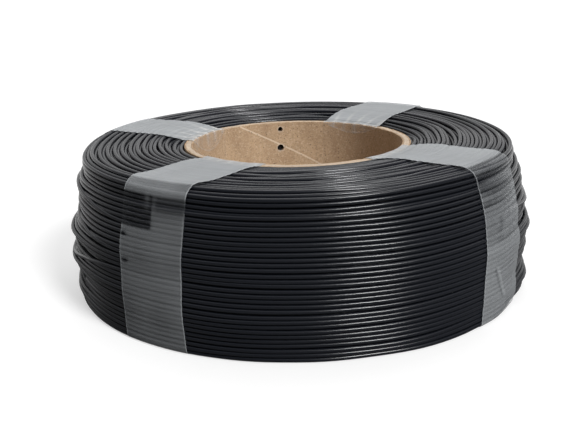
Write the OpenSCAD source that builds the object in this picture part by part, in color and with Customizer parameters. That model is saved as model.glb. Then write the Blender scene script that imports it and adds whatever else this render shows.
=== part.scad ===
// Filament refill coil: one strand of printer filament wound on a cardboard tube,
// with no flanges, and kept together by four film straps that go round the ring.
// Z is the coil's axis. The origin is on that axis, level with the straps' undersides.

/* [Coil] */
// Diameter of the winding at its widest line
coil_d = 200; // [190:1:215]
// Height of the top of the winding above the surface that it stands on
coil_h = 63.5; // [62:0.5:72]
// Height of the widest line of the side
belly_z = 24; // [20:1:35]
// How far the side draws in between the widest line and the shoulder
shoulder_in = 4.5; // [1:0.5:6]
// How far the side draws in between the widest line and the foot
foot_in = 1.5; // [0.5:0.5:3]
// Radius of the round upper edge
shoulder_r = 8; // [6:1:14]
// Radius of the round lower edge
foot_r = 1.5; // [1:0.5:4]
// Breadth of the flat ring along the top, inside the round upper edge
crest_w = 20; // [5:1:25]
// Breadth over which the underside comes down from the tube's end to its lowest
under_w = 12; // [6:1:20]

/* [Filament] */
// Diameter of the filament
filament_d = 1.75; // [1.6:0.05:1.9]
// Air between two turns of the outer layer
turn_gap = 0.45; // [0.42:0.01:0.6]
// Most turns that the outer layer shows
most_turns = 24; // [12:1:24]
// Height of the start of the outer layer's lowest turn above the round lower edge
first_turn_up = 1.3; // [1:0.1:3]
// Angle round the axis at which the outer layer starts and ends
layer_end_angle = 105; // [90:15:120]
// Radius at which the strand turns down into the layers inside
dive_r = 12; // [8:1:20]

/* [Core] */
// Bore of the cardboard tube
bore_d = 93; // [88:0.5:96]
// How far the tube's upper end stays below the top of the winding
core_drop = 2.3; // [1.5:0.1:6]
// Height of the tube's lower end above the surface
core_lift = 1.2; // [0.8:0.1:1.5]
// Thickness of the tube's inner ply
liner_t = 0.5; // [0.3:0.1:0.8]
// Thickness of the tube's middle board
board_t = 2.3; // [1.5:0.1:3]
// Thickness of the tube's outer ply
cover_t = 0.5; // [0.3:0.1:0.8]
// Thickness of glue between two plies, and between the tube and the strand
glue_t = 0.1; // [0.08:0.01:0.15]
// Width of the open joint between two turns of the inner ply
seam_w = 0.6; // [0.4:0.1:1.2]
// Angle of that joint from the horizontal
seam_angle = 27; // [20:1:35]
// Angle round the axis at which that joint meets the upper rim
seam_start = 127; // [110:1:140]

/* [Core holes] */
// Angle round the axis of the two small holes
hole_angle = 100.3; // [90:0.1:110]
// Diameter of the hole that holds the strand's start
anchor_hole_d = 3.3; // [2.8:0.1:4]
// Depth of that hole's centre below the upper rim
anchor_hole_drop = 12.7; // [10:0.1:16]
// Diameter of the hole above it
upper_hole_d = 2.4; // [2:0.1:3]
// Depth of the upper hole's centre below the upper rim
upper_hole_drop = 3.4; // [2.5:0.1:5]
// How far the strand's start stays back from the bore
strand_start_back = 1; // [0.5:0.1:2]

/* [Straps] */
// Width of a strap
strap_w = 30; // [20:1:36]
// Thickness of the film
film_t = 0.1; // [0.08:0.01:0.12]
// Thickness of adhesive between the film and what it holds
adhesive_t = 0.06; // [0.05:0.01:0.08]
// Distance from the round upper edge down to where the strap's two ends start to lap
lap_drop = 2; // [1:1:8]
// Length over which those ends lie on each other
lap_l = 20; // [8:1:24]
// Angles round the axis of the four straps
front_left_angle = -124; // [-134:1:-114]
front_right_angle = -36; // [-46:1:-26]
rear_right_angle = 55; // [45:1:65]
rear_left_angle = 157; // [147:1:167]

/* [Hidden] */

kraft = [0.62, 0.50, 0.37];
board_grey = [0.70, 0.62, 0.52];
filament_black = [0.06, 0.06, 0.065];
film_clear = [0.86, 0.88, 0.88, 0.35];

$fn = 144;
over = 1;                // how far a cutter runs past what it cuts
small_fn = 32;           // facets round the strand and the small holes
bend_fn = 64;            // facets round a bend of the strand

// The cardboard tube
bore_r = bore_d / 2;
core_r = bore_r + liner_t + board_t + cover_t + 2 * glue_t;
core_top = coil_h - core_drop;
core_l = core_top - core_lift;
seam_lead = tan(seam_angle) * PI * bore_d;       // rise of the joint in one whole turn
seam_turn = 360 * core_l / seam_lead;            // how far the joint goes round

// The winding's section. Its side is two shallow curves that meet at the widest line.
sole_z = film_t + adhesive_t;
shoulder_z = coil_h - shoulder_r;
coil_r = coil_d / 2;
function curve(x, depth) = depth * x * x;
function side_r(z) = z > belly_z
    ? coil_r - curve((z - belly_z) / (shoulder_z - belly_z), shoulder_in)
    : coil_r - curve((belly_z - z) / belly_z, foot_in);
shoulder_c = side_r(shoulder_z) - shoulder_r;
crest_r = shoulder_c - crest_w;
under_r = core_r + under_w;
foot_c = side_r(sole_z + foot_r) - foot_r;
function outer_r(z) = z > shoulder_z
    ? shoulder_c + sqrt(shoulder_r * shoulder_r - pow(z - shoulder_z, 2))
    : side_r(z);

// The top and the underside bulge past the tube's ends, each as one arc.
function bulge_r(run, rise) = (run * run + rise * rise) / (2 * rise);
crown_r = bulge_r(crest_r - core_r, coil_h - core_top);
crown_a = asin((crest_r - core_r) / crown_r);
under_bulge_r = bulge_r(under_w, core_lift - sole_z);
under_a = asin(under_w / under_bulge_r);

function spaced(lo, hi, n) = [for (i = [0:n]) lo + (hi - lo) * i / n];
function arc(c, r, a0, a1) = [for (a = spaced(a0, a1, arc_steps)) c + r * [cos(a), sin(a)]];
function outside_core(points) = [for (p = points) if (p[0] > core_r + over) p];
function wall(lo, hi, g) = [for (z = spaced(lo, hi, wall_steps)) [side_r(z) + g, z]];
function distinct(points) =
    [for (i = [0:len(points) - 1])
        if (i == 0 || norm(points[i] - points[max(i - 1, 0)]) > least_step) points[i]];
arc_steps = 12;
wall_steps = 6;
least_step = 0.001;      // points nearer than this are one point

// Outline of the whole ring, tube and winding together, grown by g, and by more where
// the ends of a strap lie on each other.
lap_top = shoulder_z - lap_drop;
lap_z = lap_top - lap_l;
function ring_outline(g, more = 0) = distinct(concat(
    [[bore_r - g, core_lift - g], [core_r - g * tan(under_a / 2), core_lift - g]],
    outside_core(arc([under_r, sole_z + under_bulge_r], under_bulge_r + g, -90 - under_a, -90)),
    arc([foot_c, sole_z + foot_r], foot_r + g, -90, 0),
    wall(sole_z + foot_r, lap_z, g),
    wall(lap_z, lap_top, g + more),
    wall(lap_top, shoulder_z, g),
    arc([shoulder_c, shoulder_z], shoulder_r + g, 0, 90),
    outside_core(arc([crest_r, coil_h - crown_r], crown_r + g, 90, 90 + crown_a)),
    [[core_r - g * tan(crown_a / 2), core_top + g], [bore_r - g, core_top + g]]));

// The turns at the layers' ends, which show on the top and the underside as rings. Each is
// a strand's rounded back, given by points at these angles from the way it faces.
ring_back = [-95, -45, 0, 45, 95];
strand = filament_d / 2;
function back(c, facing) = [for (a = ring_back) c + strand * [cos(facing + a), sin(facing + a)]];
function top_z(r) = r > crest_r ? coil_h
    : coil_h - crown_r + sqrt(pow(crown_r, 2) - pow(crest_r - r, 2));
function under_z(r) = r > under_r ? sole_z
    : sole_z + under_bulge_r - sqrt(pow(under_bulge_r, 2) - pow(under_r - r, 2));
first_r = core_r + glue_t + strand;
function rings(run) = max(1, floor(run / (filament_d + turn_gap)));
function ring_places(lo, hi) = spaced(lo, hi, rings(hi - lo));

// The outer layer: a round tube on a helix that follows the side.
rings_a_turn = 24;
tube_sides = 6;
ring_a = 360 / rings_a_turn;
seat_gap = 0.05;         // air between the outer layer and the layers inside it
pitch = filament_d + turn_gap;
first_turn_z = sole_z + foot_r + first_turn_up;
curl_share = 0.4;        // how far up the round upper edge the outer layer goes
room_z = shoulder_z + curl_share * shoulder_r - first_turn_z;
turns = min(most_turns, floor(room_z / pitch));
layer_top_z = first_turn_z + turns * pitch;
band_edge = strand + turn_gap;
function strand_r(z) = outer_r(z) - strand;
// A chord between two rings comes nearer the axis than the rings do.
function seat_r(z) = strand_r(z) * cos(ring_a / 2) - strand - seat_gap;
function centre(k) =
    let (a = layer_end_angle + k * ring_a, z = first_turn_z + pitch * k / rings_a_turn)
    [strand_r(z) * cos(a), strand_r(z) * sin(a), z];
last_ring = turns * rings_a_turn;
function unit(v) = v / norm(v);
function along(k) = unit(centre(min(k + 1, last_ring)) - centre(max(k - 1, 0)));
function outward(k) =
    let (t = along(k), a = layer_end_angle + k * ring_a, o = [cos(a), sin(a), 0])
    unit(o - (o * t) * t);
function tube_ring(k) =
    let (o = outward(k), s = cross(along(k), o))
    [for (i = [0:tube_sides - 1]) let (a = 360 * i / tube_sides)
        centre(k) + strand * (cos(a) * o + sin(a) * s)];
tube_points = [for (k = [0:last_ring]) each tube_ring(k)];
tube_sides_faces = [for (k = [0:last_ring - 1], i = [0:tube_sides - 1])
    let (a = k * tube_sides + i, b = k * tube_sides + (i + 1) % tube_sides)
    each [[a, a + tube_sides, b], [b, a + tube_sides, b + tube_sides]]];
tube_end_faces = [for (i = [1:tube_sides - 2])
    each [[0, i, i + 1],
          [last_ring * tube_sides, last_ring * tube_sides + i + 1,
           last_ring * tube_sides + i]]];
turn_distances = [for (k = [0:last_ring - rings_a_turn + 1], j = [-1:1])
    if (k + rings_a_turn + j <= last_ring) norm(centre(k + rings_a_turn + j) - centre(k))];
echo(str("Outer layer: ", turns, " turns, least gap ", min(turn_distances) - filament_d, " mm"));

// Outline of the winding without the outer layer: rings along the underside, the side,
// then rings up the round edge, from above the outer layer, and in along the top.
band_lo = first_turn_z - band_edge;
band_hi = layer_top_z + band_edge;
edge_r = shoulder_r - strand;
most_rise = 0.9;         // share of the round edge's height that the outer layer may take
edge_start = asin(min(most_rise, (max(band_hi, shoulder_z) + strand - shoulder_z) / edge_r));
edge_turns = rings(edge_r * (90 - edge_start) * PI / 180);
edge_c = [shoulder_c, shoulder_z];
foot_from = -45;         // angle at which the lower edge's curve leaves the last ring
top_places = ring_places(first_r, shoulder_c);
rings_inward = [for (k = [len(top_places) - 2:-1:0]) top_places[k]];
winding_outline = distinct(concat(
    [[core_r + glue_t, under_z(first_r) + filament_d]],
    [for (r = ring_places(first_r, foot_c)) each back([r, under_z(r) + strand], -90)],
    arc([foot_c, sole_z + foot_r], foot_r, foot_from, 0),
    wall(sole_z + foot_r, shoulder_z, 0),
    [for (a = spaced(edge_start, 90, edge_turns))
        each back(edge_c + edge_r * [cos(a), sin(a)], a)],
    [for (r = rings_inward) each back([r, top_z(r) - strand], 90)],
    [[core_r + glue_t, top_z(first_r) - filament_d]]));

// A ring of one ply of the tube, from its inner radius outwards
module ply(inner_r, thickness) {
    translate([0, 0, core_lift])
        difference() {
            cylinder(h = core_l, r = inner_r + thickness);
            translate([0, 0, -over]) cylinder(h = core_l + 2 * over, r = inner_r);
        }
}

// The two radial holes, one above the other, through the tube's wall
module core_holes() {
    radial_hole(anchor_hole_d, core_top - anchor_hole_drop);
    radial_hole(upper_hole_d, core_top - upper_hole_drop);
}

module radial_hole(d, z) {
    rotate([0, 0, hole_angle]) translate([bore_r - over, 0, z])
        rotate([0, 90, 0]) cylinder(h = core_r - bore_r + 2 * over, d = d, $fn = small_fn);
}

// The open joint of the inner ply, which climbs round the bore
module spiral_joint() {
    joint_steps = 20;
    slot_sides = 4;
    end_turn = seam_turn * over / core_l;
    translate([0, 0, core_top + over]) rotate([0, 0, seam_start + end_turn]) mirror([0, 0, 1])
        linear_extrude(height = core_l + 2 * over, twist = seam_turn + 2 * end_turn,
                       slices = joint_steps, segments = slot_sides)
            translate([bore_r - over, -seam_w / sin(seam_angle) / 2])
                square([liner_t + 2 * over, seam_w / sin(seam_angle)]);
}

module core_inner_ply() {
    color(kraft) difference() {
        ply(bore_r, liner_t);
        spiral_joint();
        core_holes();
    }
}

module core_board() {
    color(board_grey) difference() {
        ply(bore_r + liner_t + glue_t, board_t);
        core_holes();
    }
}

module core_outer_ply() {
    color(kraft) difference() {
        ply(core_r - cover_t, cover_t);
        core_holes();
    }
}

// A length of strand that goes straight on from a ring of the outer layer and then turns
// down into the layers inside. side is -1 at the layer's start and 1 at its end.
module strand_dive(k, side) {
    depth = strand_r(centre(k)[2]) - seat_r(centre(k)[2]) + filament_d;
    t = along(k) * side;
    o = outward(k);
    s = cross(o, t);
    turn = [[t[0], s[0], o[0], centre(k)[0]],
            [t[1], s[1], o[1], centre(k)[1]],
            [t[2], s[2], o[2], centre(k)[2]],
            [0, 0, 0, 1]];
    multmatrix(turn) {
        rotate([0, 90, 0]) cylinder(h = filament_d, d = filament_d, $fn = small_fn);
        // A third of a turn round the diagonal lays the bend's plane along the strand.
        translate([filament_d, 0, -dive_r]) rotate(a = -120, v = [1, 1, 1])
            rotate_extrude(angle = acos(1 - depth / dive_r), $fn = bend_fn)
                translate([dive_r, 0]) circle(d = filament_d, $fn = small_fn);
    }
}

// The start of the strand, which stands in the tube's anchor hole
module strand_start() {
    start_run = 3;       // how far it goes on outside the tube
    from_r = bore_r + strand_start_back;
    rotate([0, 0, hole_angle]) translate([from_r, 0, core_top - anchor_hole_drop])
        rotate([0, 90, 0]) cylinder(h = core_r + start_run - from_r, d = filament_d, $fn = small_fn);
}

module filament_inner_layers() {
    color(filament_black) union() {
        rotate_extrude() difference() {
            polygon(winding_outline);
            polygon(concat(
                [for (z = spaced(band_lo, band_hi, 2 * wall_steps)) [seat_r(z), z]],
                [[coil_r + over, band_hi], [coil_r + over, band_lo]]));
        }
        strand_dive(0, -1);
        strand_dive(last_ring, 1);
        strand_start();
    }
}

module filament_outer_layer() {
    color(filament_black)
        polyhedron(points = tube_points, faces = concat(tube_sides_faces, tube_end_faces));
}

// A closed loop of film round the ring's section, with its ends lapped on the outer side
module strap(angle) {
    reach = coil_r + 2 * over;
    color(film_clear) rotate([0, 0, angle]) intersection() {
        rotate_extrude() difference() {
            polygon(ring_outline(adhesive_t + film_t, film_t));
            polygon(ring_outline(adhesive_t));
        }
        translate([0, -strap_w / 2, -over]) cube([reach, strap_w, coil_h + 2 * over]);
    }
}

module strap_front_left() { strap(front_left_angle); }
module strap_front_right() { strap(front_right_angle); }
module strap_rear_right() { strap(rear_right_angle); }
module strap_rear_left() { strap(rear_left_angle); }

core_inner_ply();
core_board();
core_outer_ply();
filament_inner_layers();
filament_outer_layer();
strap_front_left();
strap_front_right();
strap_rear_right();
strap_rear_left();
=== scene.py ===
"""Filament refill coil: one black strand wound on a cardboard tube, held by four straps of clear film.

The winding is worked out turn by turn, as a winding machine lays it: the strand advances along the
tube, sinks into the valleys between the turns below, crosses over them, and turns back at the ends.
Lengths are in millimetres, up to the point where a mesh is made.
"""

import math
import random
from types import SimpleNamespace

import bpy
import numpy as np
from mathutils import Matrix, Vector


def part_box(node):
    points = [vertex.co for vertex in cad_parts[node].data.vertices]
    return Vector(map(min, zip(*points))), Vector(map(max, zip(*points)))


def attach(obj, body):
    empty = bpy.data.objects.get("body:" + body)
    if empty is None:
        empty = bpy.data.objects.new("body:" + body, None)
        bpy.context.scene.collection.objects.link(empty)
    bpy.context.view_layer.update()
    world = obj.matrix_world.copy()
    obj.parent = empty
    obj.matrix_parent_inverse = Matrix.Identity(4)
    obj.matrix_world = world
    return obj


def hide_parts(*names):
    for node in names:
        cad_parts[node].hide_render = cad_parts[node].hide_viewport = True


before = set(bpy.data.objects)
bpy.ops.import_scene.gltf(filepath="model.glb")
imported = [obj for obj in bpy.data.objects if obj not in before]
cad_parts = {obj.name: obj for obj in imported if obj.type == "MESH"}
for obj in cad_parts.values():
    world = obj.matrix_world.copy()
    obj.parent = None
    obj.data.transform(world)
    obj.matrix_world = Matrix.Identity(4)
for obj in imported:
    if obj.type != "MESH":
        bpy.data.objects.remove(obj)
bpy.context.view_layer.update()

MM = 0.001
ROOT = "root"


def node_box(node):
    """A CAD node's box in millimetres."""
    low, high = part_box(node)
    return [v / MM for v in low], [v / MM for v in high]


# ---- sizes --------------------------------------------------------------------------------------
core_low, core_high = node_box("core_outer_ply")
liner_high = node_box("core_inner_ply")[1]
CORE_R = core_high[0]                   # outside of the cardboard tube
CORE_LOW, CORE_TOP = core_low[2], core_high[2]
LINER_T, BOARD_T, COVER_T, GLUE_T = 0.5, 2.3, 0.5, 0.1
BORE_R = liner_high[0] - LINER_T
SOLE = node_box("filament_inner_layers")[0][2]      # lowest strand above the surface
COIL_H = node_box("filament_inner_layers")[1][2]    # top of the winding
COIL_R = 100.0                          # radius at the widest line
BELLY_Z = 24.0                          # height of that line
SHOULDER_IN, FOOT_IN = 4.5, 1.5         # how far the side draws in above and below it
SHOULDER_R, FOOT_R = 8.0, 1.5           # the round upper and lower edges
CREST_W, UNDER_W = 20.0, 12.0           # level width of the top, and sloping width of the underside
LEAN, LEAN_AZIMUTH = 1.0, 70            # how much higher the top is on this side than on average
SHOULDER_Z = COIL_H - SHOULDER_R
SHOULDER_C = COIL_R - SHOULDER_IN - SHOULDER_R
CREST_R = SHOULDER_C - CREST_W
UNDER_R = CORE_R + UNDER_W
FOOT_Z = SOLE + FOOT_R
FOOT_C = COIL_R - FOOT_IN * ((BELLY_Z - FOOT_Z) / BELLY_Z) ** 2 - FOOT_R


def bulge_radius(run, rise):
    """Radius of an arc that rises this much over this run."""
    return (run * run + rise * rise) / (2 * rise)


CROWN_R = bulge_radius(CREST_R - CORE_R, COIL_H - CORE_TOP)
UNDER_ARC = bulge_radius(UNDER_W, CORE_LOW - SOLE)

# the strand and how it is wound
STRAND_R = 1.75 / 2
SIDES = 10                              # facets round the strand
PITCH = 1.88                            # advance of the strand in one turn
STACK = 1.88                            # least distance between two turns, with the slack between them
STEPS = 144                             # places worked out in each turn
CELL = 0.05                             # height of one cell of the wound surface
TUBE_GAP = 0.05                         # air between the tube and the first layer
FIRST_TURN = 2.5                        # height of the first turn above the lowest strand
SLIDE = 0.26                            # how far the strand can slide up or down from place to place
GRIP, DRAG = 0.34, 0.05                 # how hard it is held to its advance, and to the height it has
PAST_END = 0.2                          # how far it may lie past the end of its layer
SWAY, SLIP = 0.18, 0.22                 # how unevenly layers end: round the coil, and from one to the next
END_PLACE = 42                          # the place where the strand's outer end dives in
END_DIVE = 12                           # the number of places that this takes
LAST_LAYER = COIL_R - 1.5               # mean radius of the last layer, before the side is drawn in
OUTERMOST = COIL_R - 12, COIL_R - 3     # from the first of these radii to the second, a turn counts as outer
DRAWN_IN = (COIL_R - SHOULDER_IN - STRAND_R - CORE_R) / (LAST_LAYER - CORE_R)
SLACK, SLACK_LONG = 0.45, 18            # size of the strand's random waves, and their reach in places
EVEN_SIDE, EVEN_TOP = 3, 6              # how far the strand is smoothed along itself, in places
FIT_BLUR = 8, 60                        # how softly it is fitted to the outline, in places and cells
FIT_LEAST, FIT_MOST = 0.90, 1.06        # by what scale at least and at most

# how the winding departs from its even shape
WAVES = ((0.25, 3, 9, 0), (0.22, 5, -5.5, 1), (0.2, 2, 3.1, 0))     # size, waves a turn, height, phase
END_SPREAD = 17                         # reach of a lumpy end to each side, in degrees
# Two ends of the coil, as angles, where the winding is lumpy: height and how far it stands out.
ENDS = ((193, ((4, 0.6), (8, -0.2), (14, -1.3), (19.5, 0.3), (25, -1.2), (31.5, 0.4), (41, -2.5), (49, -0.4),
               (56, -0.3))),
        (347, ((2, 1.6), (8, 1.2), (14.5, -0.8), (20, -0.6), (31, 0.9), (40, 0.2), (48, 0.1), (56, -0.4))))
# The heights at each end between which the strand gathers in bunches.
PARTINGS = ((193, (2, 13, 25, 40, 56)), (347, (1, 13, 24, 36, 46, 57)))
BUNCH_SHIFT, BUNCH_CLIMB = 0.7, 0.5     # how far turns move into a bunch, and climb on their neighbours
# Lengths of the last layer that stray over their neighbours: angle, half their spread, height, how far.
STRAYS = ((188, 42, 29, -7), (196, 34, 47, 5), (186, 30, 10, 6), (194, 38, 36, 4.5),
          (352, 30, 34, 6), (345, 26, 20, -6), (350, 28, 44, -5))
STRAY_TURNS, STRAY_LIFT = 40, 0.45      # the last turns, in which they are, and how far they stand out

# what is made of it
HIDDEN = 0.2                            # depth under its neighbours at which the strand no longer shows
SPARE = 14                              # places by which each length that shows goes on out of sight
DEPTH_IN = 3.4                          # how far below the surface the dark depth lies


# ---- mesh helpers -------------------------------------------------------------------------------
def mesh_object(name, points, faces, mat=None, smooth=True):
    """An object from points in millimetres."""
    mesh = bpy.data.meshes.new(name)
    mesh.from_pydata((np.asarray(points, float) * MM).tolist(), [], [list(f) for f in faces])
    mesh.validate()
    if smooth:
        mesh.shade_smooth()
    obj = bpy.data.objects.new(name, mesh)
    bpy.context.scene.collection.objects.link(obj)
    if mat:
        mesh.materials.append(mat)
    return obj


def finish_piece(obj, slot, *nodes):
    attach(obj, ROOT)
    if nodes:
        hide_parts(*nodes)


def lathe(name, profile, mat, steps):
    """A ring with this closed outline of radius and height."""
    n, a = len(profile), 2 * math.pi * np.arange(steps) / steps
    r, z = np.array(profile, float).T
    points = np.stack([np.outer(np.cos(a), r), np.outer(np.sin(a), r), np.tile(z, (steps, 1))], axis=-1)
    i, k = np.meshgrid(np.arange(steps), np.arange(n), indexing="ij")
    i2, k2 = (i + 1) % steps, (k + 1) % n
    faces = np.stack([i * n + k, i2 * n + k, i2 * n + k2, i * n + k2], axis=-1).reshape(-1, 4)
    return mesh_object(name, points.reshape(-1, 3), faces.tolist(), mat)


def tube(name, pieces, mat):
    """Round tubes through runs of rings, closed at their ends, as one object."""
    faces, base = [], 0
    for rings in pieces:
        n = len(rings)
        i, j = np.meshgrid(np.arange(n - 1), np.arange(SIDES), indexing="ij")
        a, b = i * SIDES + j, i * SIDES + (j + 1) % SIDES
        faces += (np.stack([a, b, b + SIDES, a + SIDES], axis=-1).reshape(-1, 4) + base).tolist()
        faces.append((np.arange(SIDES)[::-1] + base).tolist())
        faces.append((np.arange(SIDES) + (n - 1) * SIDES + base).tolist())
        base += n * SIDES
    obj = mesh_object(name, np.concatenate(pieces).reshape(-1, 3), faces, mat)
    obj.data.set_sharp_from_angle(angle=math.radians(60))       # the flat ends, where pieces meet
    return obj


# ---- material helpers ---------------------------------------------------------------------------
def material(name, colour, roughness, **more):
    mat = bpy.data.materials.new(name)
    mat.use_nodes = True
    shader = mat.node_tree.nodes["Principled BSDF"]
    shader.inputs["Base Color"].default_value = (*colour, 1)
    shader.inputs["Roughness"].default_value = roughness
    for socket, value in more.items():
        shader.inputs[socket.replace("_", " ")].default_value = value
    return mat


class Tree:
    """Short ways to add nodes to a material or a world. An input that is given as the output of
    another node is linked, and any other is set."""

    def __init__(self, owner):
        self.nodes, self.links = owner.node_tree.nodes, owner.node_tree.links

    def feed(self, node, socket, value):
        if isinstance(value, bpy.types.NodeSocket):
            self.links.new(value, node.inputs[socket])
        else:
            node.inputs[socket].default_value = value

    def feed_shader(self, socket, value):
        self.feed(self.nodes["Principled BSDF"], socket, value)

    def add(self, kind, settings=(), **inputs):
        """A node of this kind, with its settings made before its inputs."""
        node = self.nodes.new("ShaderNode" + kind)
        for name, value in dict(settings).items():
            setattr(node, name, value)
        for socket, value in inputs.items():
            self.feed(node, socket.replace("_", " "), value)
        return node

    def calc(self, operation, *values):
        """One number from several."""
        node = self.add("Math", {"operation": operation})
        for n, value in enumerate(values):
            self.feed(node, n, value)
        return node.outputs[0]

    def mixed(self, low, high, factor):
        """A colour between two, which are colours or the outputs of nodes."""
        low, high = ((*tone, 1) if isinstance(tone, tuple) else tone for tone in (low, high))
        return self.add("Mix", {"data_type": "RGBA"}, A=low, B=high, Factor=factor).outputs["Result"]

    def eased(self, value, start, end, low=0.0, high=1.0):
        """A soft step from low to high."""
        return self.add("MapRange", {"interpolation_type": "SMOOTHSTEP"}, From_Min=start, From_Max=end,
                        To_Min=low, To_Max=high, Value=value).outputs["Result"]

    def noise(self, where, scale, stretch=(1, 1, 1), detail=4):
        place = self.add("Mapping", Scale=stretch, Vector=where).outputs["Vector"]
        return self.add("TexNoise", Scale=scale, Detail=detail, Vector=place).outputs["Fac"]

    def blend(self, low, high, factor, start, end):
        """From one colour to the other while the factor goes from start to end."""
        share = self.add("MapRange", From_Min=start, From_Max=end, Value=factor)
        return self.mixed(low, high, share.outputs["Result"])


# ---- the winding --------------------------------------------------------------------------------
def arc_height(radius, x):
    return math.sqrt(max(radius * radius - x * x, 0))


def highest_centre(r):
    """Highest place for the strand's centre in the layer at radius r."""
    r = CORE_R + (r - CORE_R) * DRAWN_IN
    if r < CREST_R:
        return COIL_H - CROWN_R + arc_height(CROWN_R - STRAND_R, CREST_R - r)
    if r < SHOULDER_C:
        return COIL_H - STRAND_R
    return SHOULDER_Z + arc_height(SHOULDER_R - STRAND_R, r - SHOULDER_C)


def lowest_centre(r):
    """Lowest place for the strand's centre in the layer at radius r."""
    if r < UNDER_R:
        return SOLE + UNDER_ARC - arc_height(UNDER_ARC - STRAND_R, UNDER_R - r)
    if r < FOOT_C:
        return SOLE + STRAND_R
    return FOOT_Z - arc_height(FOOT_R - STRAND_R, r - FOOT_C)


def resting_cell(radii, z, target, low, high):
    """The cell of height in which the next place of the strand comes to rest."""
    k, reach = int(round(z / CELL)), int(round(SLIDE / CELL))
    first = min(max(k - reach, int((low - PAST_END) / CELL)), int((high + PAST_END) / CELL))
    last = max(min(k + reach, int((high + PAST_END) / CELL)), first)
    heights = np.arange(first, last + 1) * CELL
    cost = (radii[first:last + 1] + GRIP * (heights - target) ** 2
            + DRAG * np.abs(heights - z))
    return first + int(np.argmin(cost))


def wind():
    """The strand's centre line, as radius and height at STEPS places in each turn, and the surface
    that it leaves: for each place and each cell of height, the least radius for one more turn."""
    rng = random.Random(2)
    cells = int(COIL_H / CELL) + 60
    near = int(STACK / CELL)
    bump = np.sqrt(STACK ** 2 - (np.arange(-near, near + 1) * CELL) ** 2)
    surface = np.full((STEPS, cells), CORE_R + STRAND_R + TUBE_GAP)
    sway = [(rng.gauss(0, SWAY), rng.uniform(0, 2 * math.pi)) for _ in range(2)]
    z = target = SOLE + FIRST_TURN
    way, slip, layer_r = 1, 0.0, CORE_R + STRAND_R
    path, done = [], False
    while not done:
        place = len(path) % STEPS
        a = 2 * math.pi * place / STEPS
        target += way * PITCH / STEPS
        ebb = sum(size * math.sin((n + 1) * a + phase) for n, (size, phase) in enumerate(sway))
        high = highest_centre(layer_r) + slip + ebb
        low = lowest_centre(layer_r) + abs(slip)
        if way * target > way * (high if way > 0 else low):
            way, target, slip = -way, high if way > 0 else low, rng.gauss(0, SLIP)
            done = layer_r > LAST_LAYER - STRAND_R
        k = resting_cell(surface[place], z, target, low, high)
        z, r = k * CELL, surface[place, k]
        path.append((r, z))
        layer_r += (r - layer_r) / STEPS
        a0, a1 = max(k - near, 0), min(k + near + 1, cells)
        np.maximum(surface[place, a0:a1], r + bump[a0 - k + near:a1 - k + near],
                   out=surface[place, a0:a1])
    ended = (len(path) - END_PLACE) // STEPS * STEPS + END_PLACE
    return np.array(path[:ended]), surface


def smoothstep(x, low, high):
    x = np.clip((x - low) / (high - low), 0, 1)
    return x * x * (3 - 2 * x)


def smooth_along(values, reach):
    kernel = np.hanning(2 * reach + 3)[1:-1]
    return np.convolve(np.pad(values, reach, mode="edge"), kernel / kernel.sum(), "valid")


def wrapped_blur(grid, reach_place, reach_cell):
    """Blurs a grid of places (which go round) by cells (which don't)."""
    grid = np.concatenate([grid[-reach_place:], grid, grid[:reach_place]])
    kernel = np.hanning(2 * reach_place + 3)[1:-1]
    grid = np.apply_along_axis(np.convolve, 0, grid, kernel / kernel.sum(), "valid")
    kernel = np.hanning(2 * reach_cell + 3)[1:-1]
    padded = np.pad(grid, ((0, 0), (reach_cell, reach_cell)), mode="edge")
    return np.apply_along_axis(np.convolve, 1, padded, kernel / kernel.sum(), "valid")


def side_r(z):
    """Radius of the side of the winding at height z."""
    up = np.clip((z - BELLY_Z) / (SHOULDER_Z - BELLY_Z), 0, None)
    down = np.clip((BELLY_Z - z) / BELLY_Z, 0, None)
    return COIL_R - SHOULDER_IN * up ** 2 - FOOT_IN * down ** 2


def near_end(place, turn):
    """1 at that angle round the coil, falling to 0 on both sides."""
    away = (360 * place / STEPS - turn + 180) % 360 - 180
    return np.exp(-(away / END_SPREAD) ** 2)


def swell(place, z):
    """How far the side stands out or in of its even shape, in soft lumps."""
    a = 2 * math.pi * place / STEPS
    even = sum(size * np.sin(waves * a + z / tall + phase) for size, waves, tall, phase in WAVES)
    return even + sum(near_end(place, turn) * np.interp(z, *np.array(lumps).T) for turn, lumps in ENDS)


def gather(places, z):
    """Where the strand gathers in bunches: how far each place moves up, and how far every second
    turn climbs on its neighbours."""
    up, climb = np.zeros(len(z)), np.zeros(len(z))
    for turn, heights in PARTINGS:
        share = np.interp(z, heights, np.arange(len(heights)))
        up += BUNCH_SHIFT * near_end(places, turn) * np.sin(2 * math.pi * share)
        climb += BUNCH_CLIMB * near_end(places, turn) * (1 - np.cos(2 * math.pi * share))
    return up, climb * (np.arange(len(z)) // STEPS % 2)


def stray(r, z, places):
    """Lays some lengths of the last layer askew over their neighbours."""
    last = len(r) - STRAY_TURNS * STEPS
    for turn, spread, height, rise in STRAYS:
        at = last + np.flatnonzero(places[last:] == turn * STEPS // 360)
        at = at[r[at] > COIL_R - 3]
        middle = at[np.argmin(np.abs(z[at] - height))]
        reach = spread * STEPS // 360
        run = np.arange(max(middle - reach, 0), min(middle + reach + 1, len(r)))
        near = 0.5 + 0.5 * np.cos(math.pi * (run - middle) / reach)
        z[run] += rise * near
        r[run] += STRAY_LIFT * smoothstep(near, 0, 0.35)


def slack(count):
    """How far each length of the strand stands out of its place, as a run of soft random waves."""
    rng = np.random.default_rng(11)
    return smooth_along(rng.normal(0, SLACK, count), SLACK_LONG)


def evened(path):
    """The path with its steps between cells smoothed out, and most so where the rings of the top
    lie evenly."""
    calm = smoothstep(path[:, 1], SHOULDER_Z - 6, SHOULDER_Z + 3)
    return [(1 - calm) * smooth_along(line, EVEN_SIDE) + calm * smooth_along(line, EVEN_TOP)
            for line in path.T]


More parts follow.
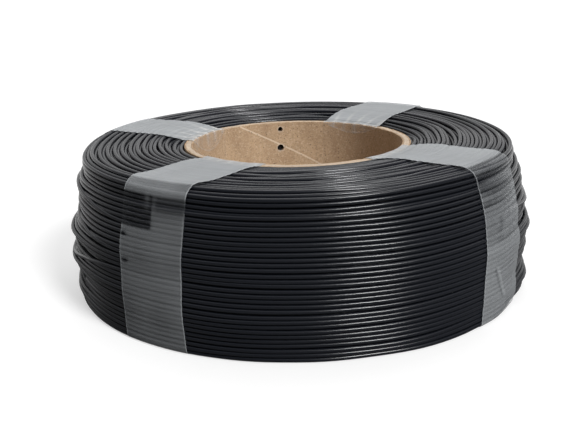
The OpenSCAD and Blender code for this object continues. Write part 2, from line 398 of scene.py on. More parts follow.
def fitting(surface):
    """The scale, for each place and cell, that draws the winding to the coil's outline. Near the
    top and the foot it keeps the value of the side next to them."""
    heights = np.arange(surface.shape[1]) * CELL
    laid = wrapped_blur(surface, *FIT_BLUR) - 0.85 * STACK      # mean radius of the outermost turns
    wanted = side_r(heights)[None, :] + swell(np.arange(STEPS)[:, None], heights[None, :]) - STRAND_R
    ratio = np.clip((wanted - CORE_R) / (laid - CORE_R), FIT_LEAST, FIT_MOST)
    firm = slice(int(5 / CELL), int((SHOULDER_Z - 1) / CELL))
    ratio[:, :firm.start] = ratio[:, [firm.start]]
    ratio[:, firm.stop:] = ratio[:, [firm.stop]]
    return ratio


def shape(path, surface):
    """Draws the winding to the outline that the coil has, with its slack, bunches and strays."""
    places = np.arange(len(path)) % STEPS
    r, z = evened(path)
    r, z = r + slack(len(r)), z + slack(len(z))[::-1]
    stray(r, z, places)
    k = np.clip((z / CELL).astype(int), 0, surface.shape[1] - 1)
    outer = smoothstep(r, *OUTERMOST)
    raised = LEAN * np.cos(2 * math.pi * places / STEPS - math.radians(LEAN_AZIMUTH))
    raised = raised * smoothstep(z, 30, COIL_H) * smoothstep(r, CORE_R, CORE_R + 20)
    up, climb = gather(places, z)
    r[-END_DIVE:] -= 3 * STRAND_R * np.linspace(0, 1, END_DIVE) ** 2        # the strand's outer end
    z = np.maximum(z + outer * up + raised, SOLE + STRAND_R)
    return np.stack([CORE_R + (r - CORE_R) * fitting(surface)[places, k] + outer * climb, z], axis=1)


def showing(path, directions=(-90, -45, 0, 45, 90)):
    """True where the strand lies at the surface, seen along any of these angles from the level."""
    places = np.arange(len(path)) % STEPS
    seen = np.zeros(len(path), bool)
    for angle in directions:
        c, s = math.cos(math.radians(angle)), math.sin(math.radians(angle))
        height = path[:, 0] * c + path[:, 1] * s
        across = -path[:, 0] * s + path[:, 1] * c
        k = np.round((across - across.min()) / CELL).astype(int) + 20
        near = int(STRAND_R / CELL)
        top = np.full((STEPS, k.max() + 21), -1e3)
        rise = np.sqrt(STRAND_R ** 2 - (np.arange(-near, near + 1) * CELL) ** 2)
        for j in range(-near, near + 1):
            np.maximum.at(top, (places, k + j), height + rise[j + near])
        for j in range(-near + 2, near - 1):
            seen |= height + rise[j + near] > top[places, k + j] - HIDDEN
    return seen


def widened(mask, margin):
    return np.convolve(mask.astype(float), np.ones(2 * margin + 1), "same") > 0


def runs_of(mask):
    """Start and end of each run of True."""
    edges = np.flatnonzero(np.diff(np.concatenate([[0], mask.astype(int), [0]])))
    return list(zip(edges[::2], edges[1::2]))


def centre_line(path):
    a = 2 * math.pi * (np.arange(len(path)) % STEPS) / STEPS
    return np.stack([path[:, 0] * np.cos(a), path[:, 0] * np.sin(a), path[:, 1]], axis=1)


def rings_along(line):
    """A ring of points round each place of a line that goes round the axis."""
    turn = 2 * math.pi * np.arange(SIDES) / SIDES
    t = np.gradient(line, axis=0)
    t /= np.linalg.norm(t, axis=1)[:, None]
    o = line * [1, 1, 0]
    o /= np.linalg.norm(o, axis=1)[:, None]
    o -= (o * t).sum(1)[:, None] * t
    o /= np.linalg.norm(o, axis=1)[:, None]
    s = np.cross(t, o)
    return line[:, None] + STRAND_R * (np.cos(turn)[None, :, None] * o[:, None]
                                       + np.sin(turn)[None, :, None] * s[:, None])


def add_filament(path, seen, mat):
    """What shows of the strand, as four pieces."""
    rings, shown = rings_along(centre_line(path)), widened(seen, SPARE)
    r, z = path.T
    on_top = (z > SHOULDER_Z - 2) & (r < COIL_R - 4)
    below = (z < 4) & ~on_top & (r < FOOT_C)
    high = z > COIL_H / 2
    for name, mask, nodes in (("filament_side_lower", ~on_top & ~below & ~high, ["filament_outer_layer"]),
                              ("filament_side_upper", ~on_top & high, ["filament_outer_layer"]),
                              ("filament_top", on_top, ["filament_inner_layers"]),
                              ("filament_underside", below, [])):
        pieces = [rings[a:b + 1] for a, b in runs_of(shown & mask)]
        finish_piece(tube(name, [p for p in pieces if len(p) > 1], mat), "filament", *nodes)


def add_depth(mat):
    """A dark body under the turns that show, so that no light comes through between them."""
    side = [(float(side_r(z)) - DEPTH_IN, z) for z in np.linspace(FOOT_Z + 2, SHOULDER_Z - 2, 8)]
    bend = SHOULDER_R - DEPTH_IN
    shoulder = [(SHOULDER_C + bend * math.cos(a), SHOULDER_Z + bend * math.sin(a))
                for a in np.linspace(0.2, 1.5, 6)]
    under = [(CORE_R + 0.1, CORE_LOW + DEPTH_IN), (UNDER_R, SOLE + DEPTH_IN), (FOOT_C - 1, SOLE + DEPTH_IN)]
    over = [(CREST_R, COIL_H - DEPTH_IN), (CORE_R + 0.1, CORE_TOP - DEPTH_IN)]
    finish_piece(lathe("filament_depth", under + side + shoulder + over, mat, 144), "filament")


# ---- the cardboard tube -------------------------------------------------------------------------
HOLE_ANGLE = math.radians(100.3)
HOLE_OUT = (math.cos(HOLE_ANGLE), math.sin(HOLE_ANGLE), 0.0)    # the holes' direction
HOLES = ((CORE_TOP - 12.7, 3.3), (CORE_TOP - 3.4, 2.4))     # height of the centre, diameter
CUTTER_R, CUTTER_LONG = 48.3, 8         # where the holes' cutters lie, in the tube's wall
SEAM_START, SEAM_ANGLE, SEAM_W = math.radians(127), math.radians(27), 0.8
SEAM_RISE = math.tan(SEAM_ANGLE) * BORE_R                   # millimetres a radian
SEAM_HALF = SEAM_W / 2 / math.cos(SEAM_ANGLE)
RIM_SOFT = 0.14                         # how far the rims of the plies are rounded


def cut(obj, cutter):
    """Takes the cutter's shape away from the object."""
    bpy.context.view_layer.objects.active = obj
    change = obj.modifiers.new("cut", "BOOLEAN")
    change.operation, change.solver, change.object = "DIFFERENCE", "EXACT", cutter
    with bpy.context.temp_override(object=obj, active_object=obj):
        bpy.ops.object.modifier_apply(modifier=change.name)
    obj.data.set_sharp_from_angle(angle=math.radians(25))


def hole_cutters():
    cutters, out = [], Vector(HOLE_OUT)
    for z, d in HOLES:
        bpy.ops.mesh.primitive_cylinder_add(vertices=40, radius=d / 2 * MM, depth=CUTTER_LONG * MM)
        cutter = bpy.context.object
        cutter.matrix_world = (Matrix.Translation((out * CUTTER_R + Vector((0, 0, z))) * MM)
                               @ out.to_track_quat("Z", "X").to_matrix().to_4x4())
        cutters.append(cutter)
    return cutters


def seam_bar(name, radii, half, over, mat=None):
    """A bar along the helix of the joint, between these radii and as far as half to each side of
    the joint. It goes this far over the tube's ends."""
    inner, outer = radii
    points, faces = [], []
    z = np.linspace(CORE_TOP + over, CORE_LOW - over, 160)
    for n, height in enumerate(z):
        a = SEAM_START + (height - CORE_TOP) / SEAM_RISE
        for r, dz in ((inner, -half), (outer, -half), (outer, half), (inner, half)):
            points.append((r * math.cos(a), r * math.sin(a), height + dz))
        if n:
            faces += [(4 * n - 4 + k, 4 * n - 4 + (k + 1) % 4, 4 * n + (k + 1) % 4, 4 * n + k)
                      for k in range(4)]
    faces += [(3, 2, 1, 0), tuple(4 * len(z) - 4 + k for k in range(4))]
    return mesh_object(name, points, faces, mat, smooth=False)


def ply(name, inner, outer, mat, fray, seed):
    """One ply of the tube, with a frayed upper rim."""
    soft, steps = RIM_SOFT, 360
    walls = [(inner, z) for z in np.linspace(CORE_TOP - 0.6, CORE_LOW + 0.6, 30)]
    profile = ([(inner + soft, CORE_TOP), (inner, CORE_TOP - soft)] + walls
               + [(inner, CORE_LOW + soft), (inner + soft, CORE_LOW), (outer - soft, CORE_LOW),
                  (outer, CORE_LOW + soft), (outer, CORE_TOP - soft), (outer - soft, CORE_TOP)])
    obj = lathe(name, profile, mat, steps)
    rng = np.random.default_rng(seed)
    rough = rng.normal(0, fray, steps)
    rough += np.roll(rough, 1) + 0.6 * np.repeat(rng.normal(0, fray, steps // 6), 6)
    for v in obj.data.vertices:
        if v.co.z > (CORE_TOP - 0.3) * MM:
            v.co.z += rough[v.index // len(profile)] * MM
    return obj


def torn_round_holes(tree, where, look):
    """The same look, with torn pale edges round the holes."""
    for z, d in HOLES:
        middle = Vector((BORE_R * math.cos(HOLE_ANGLE), BORE_R * math.sin(HOLE_ANGLE), z)) * MM
        gap = tree.add("VectorMath", {"operation": "DISTANCE"})
        tree.feed(gap, 0, where)
        tree.feed(gap, 1, middle)
        wander = tree.calc("MULTIPLY_ADD", tree.noise(where, 900, detail=1), 0.0016, gap.outputs["Value"])
        look = tree.blend((0.62, 0.50, 0.37), look, wander, (d / 2 + 0.9) * MM, (d / 2 + 1.5) * MM)
    return look


def kraft(name, colour, pale, dark, halo=False):
    """Brown paper: fibres, flecks and soft blotches, and with a halo also torn edges at the holes."""
    mat = material(name, colour, 0.88, Specular_IOR_Level=0.25)
    tree = Tree(mat)
    where = tree.add("TexCoord").outputs["Object"]
    patches, fibres = tree.noise(where, 90, (1, 1, 0.6), 5), tree.noise(where, 1300, (1, 1, 1.2), 3)
    grain, flecks = tree.noise(where, 850, (1, 1, 1.2), 3), tree.noise(where, 1900, (1, 1, 1), 0)
    look = tree.blend(dark, colour, patches, start=0.32, end=0.62)
    look = tree.blend(look, pale, fibres, start=0.50, end=0.86)
    look = tree.blend(look, dark, grain, start=0.50, end=0.80)
    look = tree.blend(look, tuple(0.35 * c for c in dark), flecks, start=0.72, end=0.78)
    tree.feed_shader("Base Color", torn_round_holes(tree, where, look) if halo else look)
    bump = tree.add("Bump", Strength=0.35, Distance=0.0003,
                    Height=tree.noise(where, 1100, (1, 1, 0.5), 3))
    tree.feed_shader("Normal", bump.outputs["Normal"])
    return mat


def add_joint_edge(cutters):
    """The torn edge of the paper in the open joint, cut like the tube by the holes."""
    torn = kraft("torn_paper", colour=(0.82, 0.67, 0.50), pale=(0.88, 0.76, 0.60), dark=(0.70, 0.55, 0.40))
    lip = seam_bar("tube_joint_edge", (BORE_R + 0.05, BORE_R + 0.3), SEAM_HALF - 0.03, over=-0.3, mat=torn)
    for cutter in cutters:
        cut(lip, cutter)
    finish_piece(lip, "kraft_liner")


def add_core():
    """The tube's three plies, with the joint of the inner one and the two holes."""
    paper = kraft("kraft_paper", colour=(0.575, 0.405, 0.257), pale=(0.78, 0.63, 0.465),
                  dark=(0.44, 0.295, 0.18), halo=True)
    board = kraft("grey_board", colour=(0.60, 0.485, 0.37), pale=(0.72, 0.62, 0.50), dark=(0.50, 0.39, 0.29))
    inner = BORE_R + LINER_T + GLUE_T
    plies = (("core_inner_ply", BORE_R, BORE_R + LINER_T, paper, "kraft_liner", 0.03),
             ("core_board", inner, inner + BOARD_T, board, "core_board", 0.06),
             ("core_outer_ply", CORE_R - COVER_T, CORE_R, paper, "kraft_cover", 0.03))
    cutters = hole_cutters()
    seam = seam_bar("seam_cutter", (BORE_R - 1, BORE_R + 0.2), SEAM_HALF, over=2)
    add_joint_edge(cutters)
    for n, (node, r0, r1, mat, slot, fray) in enumerate(plies):
        obj = ply("tube_" + node, r0, r1, mat, fray, n)
        for cutter in cutters + ([seam] if n == 0 else []):
            cut(obj, cutter)
        finish_piece(obj, slot, node)
    for cutter in cutters + [seam]:
        bpy.data.objects.remove(cutter)


def add_strand_start(mat):
    """The start of the strand, which stands in the lower hole."""
    sides = 16
    out, up = np.array(HOLE_OUT), np.array([0.0, 0.0, 1.0])
    side = np.array([-math.sin(HOLE_ANGLE), math.cos(HOLE_ANGLE), 0.0])
    line = [out * r + up * (HOLES[0][0] - 0.4) for r in np.linspace(BORE_R + 1.8, CORE_R + 2, 6)]
    points, faces = [], []
    for n, p in enumerate(line):
        base, last = sides * n, sides * (n - 1)
        for k in range(sides):
            b = 2 * math.pi * k / sides
            points.append(p + STRAND_R * (math.cos(b) * side + math.sin(b) * up))
            if n:
                faces.append((last + k, last + (k + 1) % sides, base + (k + 1) % sides, base + k))
    faces += [tuple(range(sides - 1, -1, -1)), tuple(range(len(points) - sides, len(points)))]
    finish_piece(mesh_object("filament_start", points, faces, mat, smooth=False), "filament")


# ---- the film straps ----------------------------------------------------------------------------
STRAP_W, FILM_T, STUCK = 30.0, 0.1, 0.06
FINE = 0.1                              # spacing of the places of a strap's route
ROW, COLUMNS = 0.4, 56                  # spacing of the film's rows, and its columns
LAP_TOP = SHOULDER_Z - 2
LAP_LOW = LAP_TOP - 20
REACH = 9                               # places of the turn to each side of a strap's middle
BARE = -2.4                             # how far out the strand counts to be where there is none
SIDE_SPAN, TOP_SPAN = (30, 40), (70, 90)    # how far the film spans gaps, and how softly, in tenths
SAG = 0.12                              # the share of a gap by which it sinks in
CLOUDS = ((0.05, 26, 1.7, 5), (0.08, 9, 14, 9))     # haze in streaks and in patches: strength, size, seed
EDGE_W, EDGE_IN_BORE, EDGE_HAZE = 0.45, 0.15, 0.45  # cloudy cut edges: width, haze in the bore and outside
FILM_GREY, FILM_PALE = (0.58, 0.605, 0.625), (0.88, 0.86, 0.83)
COVER = 0.72                            # how much each of the film's two faces covers
# Each strap: its name, angle and seed, its haze on the side, over the bend and on top, where the
# higher haze on top is painted sheen that makes the top paler, how far it hangs free in the bore
# and how much askew, and how strong its folds are at the rim.
STRAPS = (("front_left", -124, 1, (0.245, 0.28, 0.60), (3.0, 0), 0.1),
          ("front_right", -36, 2, (0.37, 0.22, 0.64), (3.0, 0), 0.1),
          ("rear_right", 55, 3, (0.35, 0.42, 0.60), (4.0, 0), 0.25),
          ("rear_left", 157, 4, (0.35, 0.42, 0.62), (7.5, 0.6), 0.45))


def arc(cr, cz, radius, a0, a1, count=24):
    a = np.radians(np.linspace(a0, a1, count))
    return np.stack([cr + radius * np.cos(a), cz + radius * np.sin(a)], axis=1)


def film_corners():
    """The way of a strap round the ring's section, from its hidden end on the side, down, through
    the bore and over the top to its outer end."""
    down = [(float(side_r(z)), z) for z in np.linspace(LAP_TOP, FOOT_Z, 60)]
    crown_a = math.degrees(math.asin((CREST_R - CORE_R) / CROWN_R))
    under_a = math.degrees(math.asin(UNDER_W / UNDER_ARC))
    again = [(float(side_r(z)), z) for z in np.linspace(SHOULDER_Z, LAP_LOW, 40)]
    corners = np.concatenate([
        down, arc(FOOT_C, FOOT_Z, FOOT_R, 0, -90),
        arc(UNDER_R, SOLE + UNDER_ARC, UNDER_ARC, -90, -90 - under_a),
        [(BORE_R, CORE_LOW), (BORE_R, CORE_TOP)],
        arc(CREST_R, COIL_H - CROWN_R, CROWN_R, 90 + crown_a, 90),
        arc(SHOULDER_C, SHOULDER_Z, SHOULDER_R, 90, 0), again])
    step = np.linalg.norm(np.diff(corners, axis=0), axis=1)
    return corners[np.concatenate([[True], step > 1e-6])]


def film_route():
    """That way at even spacing: places, outward normals, directions and lengths."""
    corners = film_corners()
    length = np.concatenate([[0], np.cumsum(np.linalg.norm(np.diff(corners, axis=0), axis=1))])
    fine = np.arange(0, length[-1], FINE)
    route = np.stack([np.interp(fine, length, corners[:, k]) for k in range(2)], axis=1)
    route = np.stack([smooth_along(route[:, k], 4) for k in range(2)], axis=1)
    t = np.gradient(route, axis=0)
    t /= np.linalg.norm(t, axis=1)[:, None]
    # The route turns clockwise in the plane of radius and height, so its left is outward.
    normal = np.stack([-t[:, 1], t[:, 0]], axis=1)
    return route, normal, t, fine


def blotches(x, y, wide, tall, seed):
    """Soft random values from 0 to 1, in patches of this size."""
    grid = np.random.default_rng(seed).random((64, 64))
    u, v = x / wide, y / tall
    i, j = np.floor(u).astype(int), np.floor(v).astype(int)
    fu, fv = u - i, v - j
    fu, fv = fu * fu * (3 - 2 * fu), fv * fv * (3 - 2 * fv)
    g = [[grid[(i + a) % 64, (j + b) % 64] for b in (0, 1)] for a in (0, 1)]
    return ((g[0][0] * (1 - fu) + g[1][0] * fu) * (1 - fv) + (g[0][1] * (1 - fu) + g[1][1] * fu) * fv)


def proud(path, seen, place, route, normal, t):
    """How far the strand stands out along the route at one place of the turn, or between two."""
    at = np.flatnonzero((np.arange(len(path) - 1) % STEPS == int(place) % STEPS) & seen[:-1])
    here = path[at] + (place % 1) * (path[at + 1] - path[at])
    off = here[:, None, :] - route[None, :, :]
    along, out = (off * t).sum(-1), (off * normal).sum(-1)
    rise = out + np.sqrt(np.maximum(STRAND_R ** 2 - along ** 2, 0))
    rise[(np.abs(along) >= STRAND_R) | (np.abs(out) > 4)] = BARE
    return rise.max(axis=0)


def taut(bare, span):
    """A smooth film over what stands out, this far to both sides."""
    width, reach = span
    padded = np.pad(bare, ((0, 0), (width, width)), mode="edge")
    crest = np.max([padded[:, k:k + bare.shape[1]] for k in range(2 * width + 1)], axis=0)
    return np.stack([smooth_along(c, reach) for c in crest])


def draped(bare, upward, on_core):
    """How far the film stands off, over a strand that stands out like this."""
    film = (1 - upward) * taut(bare, SIDE_SPAN) + upward * taut(bare, TOP_SPAN)
    film = np.stack([smooth_along(c, 4) for c in film.T]).T
    film = film - SAG * np.stack([smooth_along(np.maximum(f - b, 0), 4) for f, b in zip(film, bare)])
    film = np.maximum(film, bare + 0.02)
    film[:, on_core] = 0
    return film


def film_surface(path, seen, angle):
    """The film before it is creased. Each column has u, from -1 to 1. Each row has its place r, z, its
    normal n_r, n_z, its lengths s and from_rim, and says whether it is inside the bore, in the outer
    lap, or in the lap at all. Each point has across, azimuth, its lift off the section and its gap
    to the strand."""
    route, normal, t, fine = film_route()
    on_core = (route[:, 0] < CORE_R + 0.2)
    first = int(round(math.degrees(angle) / 360 * STEPS)) - REACH
    halves = 4 * REACH                  # half places from the first to the last
    bare = np.stack([proud(path, seen, first + k / 2, route, normal, t) for k in range(halves + 1)])
    bare[:, on_core] = 0
    film = draped(bare, smoothstep(normal[:, 1], 0.3, 0.8), on_core)
    rows = np.arange(0, len(fine), int(round(ROW / FINE)))
    even = np.linspace(-1, 1, COLUMNS + 1)
    m = SimpleNamespace(u=(0.6 * even + 0.4 * np.sin(even * math.pi / 2))[None, :])     # closer at the edges
    m.r, m.z, m.s = route[rows, :1], route[rows, 1:], fine[rows, None]
    m.n_r, m.n_z = normal[rows, :1], normal[rows, 1:]
    m.across = m.u * STRAP_W / 2
    turn = np.arcsin(np.clip(m.across / m.r, -1, 1))
    k = np.clip(((angle + turn) / (2 * math.pi) * STEPS - first) * 2, 0, halves - 1e-3)
    k0, row = k.astype(int), rows[:, None]
    f = k - k0
    m.lift = film[k0, row] * (1 - f) + film[k0 + 1, row] * f
    m.gap = m.lift - (bare[k0, row] * (1 - f) + bare[k0 + 1, row] * f)
    m.across, m.azimuth = m.across + 0 * m.z, np.degrees(turn) + math.degrees(angle)
    m.from_rim = m.s - m.s[np.argmin(np.abs(m.r - BORE_R) + np.abs(m.z - CORE_TOP))]
    m.inside = on_core[rows, None] & (m.z > CORE_LOW + 1) & (m.r < BORE_R + 0.3)
    m.outer_lap = m.s > m.s[-1] - (LAP_TOP - LAP_LOW) - 3
    m.lap = m.outer_lap | (m.s < LAP_TOP - LAP_LOW)
    return m


def crumple(m, seed):
    """Adds folds and creases where the flat film goes over the rim into the round bore."""
    m.near_rim = np.exp(-((m.from_rim - 1) / 5) ** 2)
    m.fold = (0.5 + 0.5 * np.sin(7 * m.u * (1 + 0.3 * np.sin(seed)) + seed + 0.08 * m.from_rim)) ** 2
    m.crease = (0.5 + 0.5 * np.sin(17 * m.u * (1 - 0.02 * m.from_rim) + seed)) ** 6
    m.crease = m.crease * np.exp(-m.from_rim / 6) * (m.from_rim > 0)


def film_lift(m, folds, seed):
    """How far the film's outer face stands off the section."""
    folded = folds * m.near_rim * m.fold
    lift = m.lift + STUCK + folded
    lift += 0.07 * (blotches(m.across + 40, m.s, 11, 17, seed) - 0.4) * (m.from_rim > 4)
    over_rim = smoothstep(m.from_rim, -0.8, 0.3) * (1 - smoothstep(m.from_rim, 3.2, 4.5))
    lift += 0.28 * over_rim             # clear of the frayed rim
    lift = np.where(m.inside, STUCK + folded * (1 - m.u ** 2), lift)
    return lift + np.where(m.outer_lap, FILM_T + 0.03, 0)


def bore_haze(m, hang, seed):
    """The film in the bore: below the rim a crescent hangs free, with pleats and a pale edge. Under
    it the film lies flat on the paper and hardly shows."""
    reach, askew = hang
    depth = CORE_TOP - m.z
    ragged = 0.5 * blotches(m.across + 40, m.s * 0, 3, 3, seed)
    above = reach * (1 - m.u ** 2) * (1 - askew * m.u) + ragged - depth
    pleats = (0.5 + 0.5 * np.sin(17 * m.u * (1 - 0.03 * depth) + seed)) ** 4 * np.exp(-depth / 4)
    hanging = 0.08 + 0.32 * pleats + 0.28 * np.exp(-((above - 0.3) / 0.3) ** 2)
    return np.where(above > 0, hanging, 0.02)


def film_haze(m, haze_and_top_sheen, hang, folds, seed, marks):
    """How cloudy the film is: by where it lies, with painted sheen that makes it paler on top, in streaks
    and patches, less over gaps as painted shade between the turns, more in folds and along the cut
    edges."""
    on_side, on_bend, on_top = haze_and_top_sheen
    upward, bend = smoothstep(m.n_z, 0.90, 0.97), smoothstep(m.n_z, 0.1, 0.4)
    # Painted sheen: the film is given more haze on top, so that it shows paler there, as light falling from
    # above would make it.
    haze_and_painted_light = on_side + (on_bend - on_side) * bend + (on_top - on_bend) * upward
    for strength, wide, tall, more in CLOUDS:
        haze_and_painted_light = haze_and_painted_light + strength * (blotches(m.across + 40, m.s, wide, tall, seed + more) - 0.5)
    # Painted shade: the film is made clearer, and so darker, over the gaps between the turns, and hazier over
    # their crests.
    haze_and_painted_light = haze_and_painted_light + 0.10 * (1 - upward) * (0.5 - smoothstep(m.gap, 0.1, 0.7))
    haze_and_painted_light = haze_and_painted_light + 0.10 * m.near_rim * m.fold + folds * m.crease
    haze_and_painted_light = np.where(m.inside, bore_haze(m, hang, seed), haze_and_painted_light)
    edge = smoothstep(np.abs(m.across), STRAP_W / 2 - EDGE_W, STRAP_W / 2 - EDGE_W / 3)
    haze_and_painted_light = marks(haze_and_painted_light + np.where(m.inside, EDGE_IN_BORE, EDGE_HAZE) * edge, m)
    # Where the ends lie on each other, the two films together are as cloudy as one elsewhere.
    return np.where(m.lap, 1 - np.sqrt(1 - np.clip(haze_and_painted_light, 0, 1)), haze_and_painted_light)


def film_points(m, angle, lift, seed):
    """The film's outer face and then its inner face, with softly wavy edges."""
    wave = 0.5 * (blotches(m.s, m.s * 0, 21, 1, seed + 3) - 0.5) * np.abs(m.u)
    side = m.across + wave * np.sign(m.u)
    c, s = math.cos(angle), math.sin(angle)
    shells = []
    for back in (0.0, FILM_T):
        r = m.r + m.n_r * (lift - back)
        height = np.maximum(m.z + m.n_z * (lift - back), back + 0.01)
        x = np.sqrt(np.maximum(r ** 2 - side ** 2, 0))
        shells.append(np.stack([x * c - side * s, x * s + side * c, height], axis=-1))
    return np.concatenate([shell.reshape(-1, 3) for shell in shells])


def film_faces(rows, cols):
    """Faces of a closed sheet whose two sides have this many points."""
    i, j = np.meshgrid(np.arange(rows - 1), np.arange(cols - 1), indexing="ij")
    a = i * cols + j
    outer = np.stack([a, a + 1, a + cols + 1, a + cols], axis=-1).reshape(-1, 4)
    inner = outer[:, ::-1] + rows * cols
    border = np.concatenate([np.arange(cols - 1), (np.arange(rows - 1) + 1) * cols - 1,
                             rows * cols - 1 - np.arange(cols - 1), (rows - 1 - np.arange(rows - 1)) * cols])
    nxt = np.roll(border, -1)
    rim = np.stack([nxt, border, border + rows * cols, nxt + rows * cols], axis=-1)
    return np.concatenate([outer, inner, rim]).tolist()


def add_strap(name, degrees_round, seed, haze_and_top_sheen, hang, folds, path, seen, mat):
    angle = math.radians(degrees_round)
    m = film_surface(path, seen, angle)
    crumple(m, seed)
    haze_and_painted_light = film_haze(m, haze_and_top_sheen, hang, folds, seed, MARKS.get(name, no_marks))
    pale = m.inside + 4 * folds * m.crease
    points = film_points(m, angle, film_lift(m, folds, seed), seed)
    obj = mesh_object("film_" + name, points, film_faces(*m.across.shape), mat)
    # The haze stored here holds painted sheen on top and painted shade over the gaps, besides the film's own
    # haze.
    for what, values in (("haze_and_painted_light", haze_and_painted_light), ("pale", pale)):
        layer = obj.data.attributes.new(what, "FLOAT", "POINT")
        layer.data.foreach_set("value", np.tile(np.clip(values, 0, 1).reshape(-1), 2).astype(np.float32))
    finish_piece(obj, "strap_film", "strap_" + name)


def film_material():
    """Clear film: as cloudy as each point's haze says, painted sheen and shade included, and
    mirror-like at a low angle.
    """
    mat = material("strap_film", FILM_GREY, roughness=0.30)
    tree = Tree(mat)
    # The haze attribute also holds painted sheen on the straps' tops and painted shade over the gaps between
    # the turns.
    haze_and_painted_light = tree.add("Attribute", {"attribute_name": "haze_and_painted_light"}).outputs["Fac"]
    pale = tree.add("Attribute", {"attribute_name": "pale"}).outputs["Fac"]     # creased, or hanging free
    tree.feed_shader("Base Color", tree.mixed(FILM_GREY, FILM_PALE, pale))
    fresnel = tree.add("Fresnel", IOR=1.45)
    # A clear film is not seen when it is looked at straight on, and only its front face shines.
    slant = tree.add("MapRange", From_Min=0.05, Value=fresnel.outputs["Fac"]).outputs["Result"]
    front = tree.calc("SUBTRACT", 1, tree.add("NewGeometry").outputs["Backfacing"])
    gloss = tree.calc("MULTIPLY", slant, front)
    cover = tree.calc("MULTIPLY_ADD", tree.calc("SUBTRACT", 1, haze_and_painted_light), gloss, haze_and_painted_light)
    tree.feed_shader("Alpha", tree.calc("MULTIPLY", cover, COVER))
    return mat


# The marks of a strap change its haze by azimuth in degrees and by height.
def spot(x, at, size):
    """1 at a place, falling softly to 0 over this distance."""
    return np.exp(-((x - at) / size) ** 2)


def no_marks(haze_and_painted_light, m):
    return haze_and_painted_light


def front_left_marks(haze_and_painted_light, m):
    """A patch where the film has gone clear, thumb marks on it, and two dark ovals at the edge."""
    az, z, outer = m.azimuth, m.z, m.r > 90
    under_bend = 1 - smoothstep(z, 57.8, 59)
    wander = 1.6 * (blotches(az + 200, z + 0 * az, 2.5, 4, 3) - 0.5)
    patch = smoothstep(z, 45.6, 46.0) * under_bend * (1 - smoothstep(az + wander, -124.3, -123.8))
    streak = smoothstep(z, 48, 55) * under_bend * smoothstep(az, -124, -123.5)
    thinner = 1 - 0.2 * smoothstep(z, 28, 50) * (1 - smoothstep(z, 56, 60))
    haze_and_painted_light = np.where(outer, haze_and_painted_light * thinner * (1 - 0.95 * patch) * (1 - 0.7 * streak), haze_and_painted_light)
    thumb = (spot(az, -125.4, 0.7) * spot(z, 56, 2.4)
             + 0.8 * spot(az, -123.3, 0.5) * spot(z, 55, 2.8))
    haze_and_painted_light = haze_and_painted_light + np.where(outer, 0.16 * thumb, 0)
    for a, height in ((-132.2, 42.6), (-131.2, 32.6)):
        haze_and_painted_light = haze_and_painted_light - np.where(outer, 0.4 * spot(az, a, 1.1) * spot(z, height, 0.8), 0)
    return haze_and_painted_light


def front_right_marks(haze_and_painted_light, m):
    """A clearer band with streaks over the round edge, a few wrinkles, and a long blister."""
    az, z, outer = m.azimuth, m.z + 0 * m.azimuth, m.r > 88
    streaks = blotches(az + 200, z, 9, 1.3, 21)
    band = smoothstep(z, 46.5, 48) * (1 - smoothstep(z, 60, 62))
    haze_and_painted_light = haze_and_painted_light - np.where(outer, (0.09 + 0.22 * streaks) * band, 0)
    patch = smoothstep(blotches(az + 200, z, 1.6, 2.0, 22), 0.45, 0.6) * smoothstep(z, 32, 35)
    patch = patch * (1 - smoothstep(z, 42, 45)) * spot(az, -36.5, 4)
    haze_and_painted_light = haze_and_painted_light - np.where(outer, 0.14 * patch + 0.14 * smoothstep(z, 31, 33.5) * (1 - band), 0)
    along = z - (23 - 13.8 * (az + 40.6) / 4.4)      # height above the blister's slanting line
    length = smoothstep(z, 8, 10) * (1 - smoothstep(z, 22, 24))
    blister = length * (0.22 * spot(along, 2.0, 1.6) - 0.20 * spot(along, -1.5, 1.2))
    return haze_and_painted_light + np.where(m.r > 90, blister, 0)


MARKS = {"front_left": front_left_marks, "front_right": front_right_marks}


# ---- floor, light and camera --------------------------------------------------------------------
CAMERA_AT, CAMERA_AIM = (0, -390.31, 141.02), (-4.01, 0, 25.68)
FOCAL_PX, FRAME_PX, ROLL = 892, 580, -0.022
FLOOR_HALF = 20000
FLOOR_GLOW = 0.515                      # makes the floor white where it is shown as the background


def white_background(tree, behind):
    """1 for rays that show the white background: the camera's, and those by which glossy and clear
    things show it, as far as it lies behind the coil. The room in front of it is dark."""
    ray = tree.add("LightPath").outputs
    through = tree.calc("MAXIMUM", ray["Is Glossy Ray"], ray["Is Transmission Ray"])
    return tree.calc("MAXIMUM", tree.calc("MULTIPLY", through, behind), ray["Is Camera Ray"])


def add_floor():
    """White to the camera, and darker in what it throws back on the coil."""
    mat = material("floor_white", (0.9, 0.9, 0.9), 0.9, Specular_IOR_Level=0, Emission_Color=(1, 1, 1, 1))
    tree = Tree(mat)
    where = tree.add("SeparateXYZ", Vector=tree.add("TexCoord").outputs["Object"])
    behind = tree.eased(where.outputs["Y"], COIL_R * MM, 3 * COIL_R * MM)
    shown = white_background(tree, behind)
    tree.feed_shader("Base Color", tree.mixed((0.16, 0.16, 0.16), (0.59, 0.59, 0.59), shown))
    tree.feed_shader("Emission Strength", tree.calc("MULTIPLY", shown, FLOOR_GLOW))
    corners = [(x * FLOOR_HALF, y * FLOOR_HALF, 0) for x, y in ((-1, -1), (1, -1), (1, 1), (-1, 1))]
    floor = mesh_object("floor", corners, [(0, 1, 2, 3)], mat, smooth=False)


def sun(name, azimuth, elevation, spread, strength):
    """A soft light from far away, which lights the floor evenly."""
    a, e = math.radians(azimuth), math.radians(elevation)
    toward = Vector((math.cos(e) * math.cos(a), math.cos(e) * math.sin(a), math.sin(e)))
    data = bpy.data.lights.new(name, "SUN")
    data.angle = math.radians(spread)
    data.energy = strength
    lamp = bpy.data.objects.new(name, data)
    lamp.rotation_euler = toward.to_track_quat("Z", "Y").to_euler()
    lamp.location = toward
    bpy.context.scene.collection.objects.link(lamp)


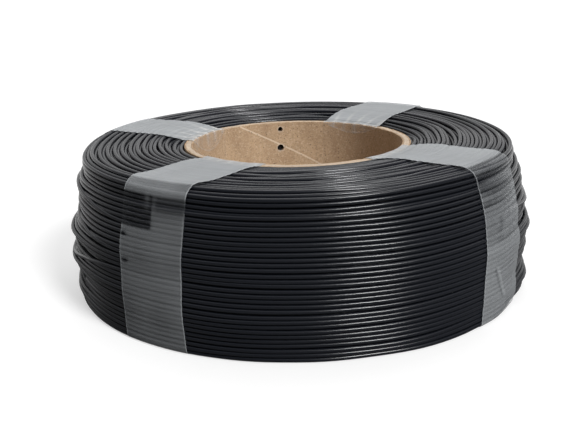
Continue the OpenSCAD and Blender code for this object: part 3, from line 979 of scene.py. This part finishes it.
def add_camera():
    """The camera that was fitted to the photograph."""
    place, aim = Vector(CAMERA_AT) * MM, Vector(CAMERA_AIM) * MM
    data = bpy.data.cameras.new("camera")
    data.sensor_width = 36
    data.lens = FOCAL_PX / FRAME_PX * data.sensor_width
    data.clip_start = 0.01
    cam = bpy.data.objects.new("camera", data)
    forward = (aim - place).normalized()
    right = forward.cross(Vector((0, 0, 1))).normalized()
    up = right.cross(forward)
    x = math.cos(ROLL) * right + math.sin(ROLL) * up
    y = -math.sin(ROLL) * right + math.cos(ROLL) * up
    cam.matrix_world = Matrix((x, y, -forward)).transposed().to_4x4()
    cam.location = place
    bpy.context.scene.collection.objects.link(cam)
    bpy.context.scene.camera = cam


def set_world():
    """White to the camera. A white backdrop behind the coil, a bright studio above it and towards
    the back, and a dark one in front."""
    world = bpy.data.worlds.new("world")
    world.use_nodes = True
    tree = Tree(world)
    where = tree.add("TexCoord").outputs["Generated"]
    along = tree.add("VectorMath", {"operation": "DOT_PRODUCT"})
    tree.feed(along, 0, where)
    tree.feed(along, 1, (0, 0.5, 0.87))
    studio = tree.eased(along.outputs["Value"], 0.2, 0.95, low=0.05, high=0.75)
    side = tree.add("SeparateXYZ", Vector=where).outputs
    behind, near_floor = tree.eased(side["Y"], 0.3, 0.8), tree.eased(side["Z"], 0.02, 0.22, low=1.0, high=0.0)
    backdrop = tree.calc("MULTIPLY", behind, near_floor)
    level = tree.add("Mix", A=studio, B=1.0, Factor=white_background(tree, backdrop))
    tree.feed(tree.nodes["Background"], "Strength", level.outputs["Result"])
    tree.feed(tree.nodes["Background"], "Color", (1, 1, 1, 1))
    bpy.context.scene.world = world


black = material("filament_black", (0.009, 0.0105, 0.015), roughness=0.27)
path, surface = wind()
path = shape(path, surface)
seen = showing(path)
add_filament(path, seen, black)
add_depth(black)
add_strand_start(black)
add_core()
film = film_material()
for strap in STRAPS:
    add_strap(*strap, path, seen, film)

add_floor()
set_world()
sun("key_light", azimuth=-53, elevation=38, spread=18, strength=2.7)
sun("back_light", azimuth=80, elevation=55, spread=40, strength=0.45)
add_camera()
bpy.context.scene.view_settings.view_transform = "Standard"
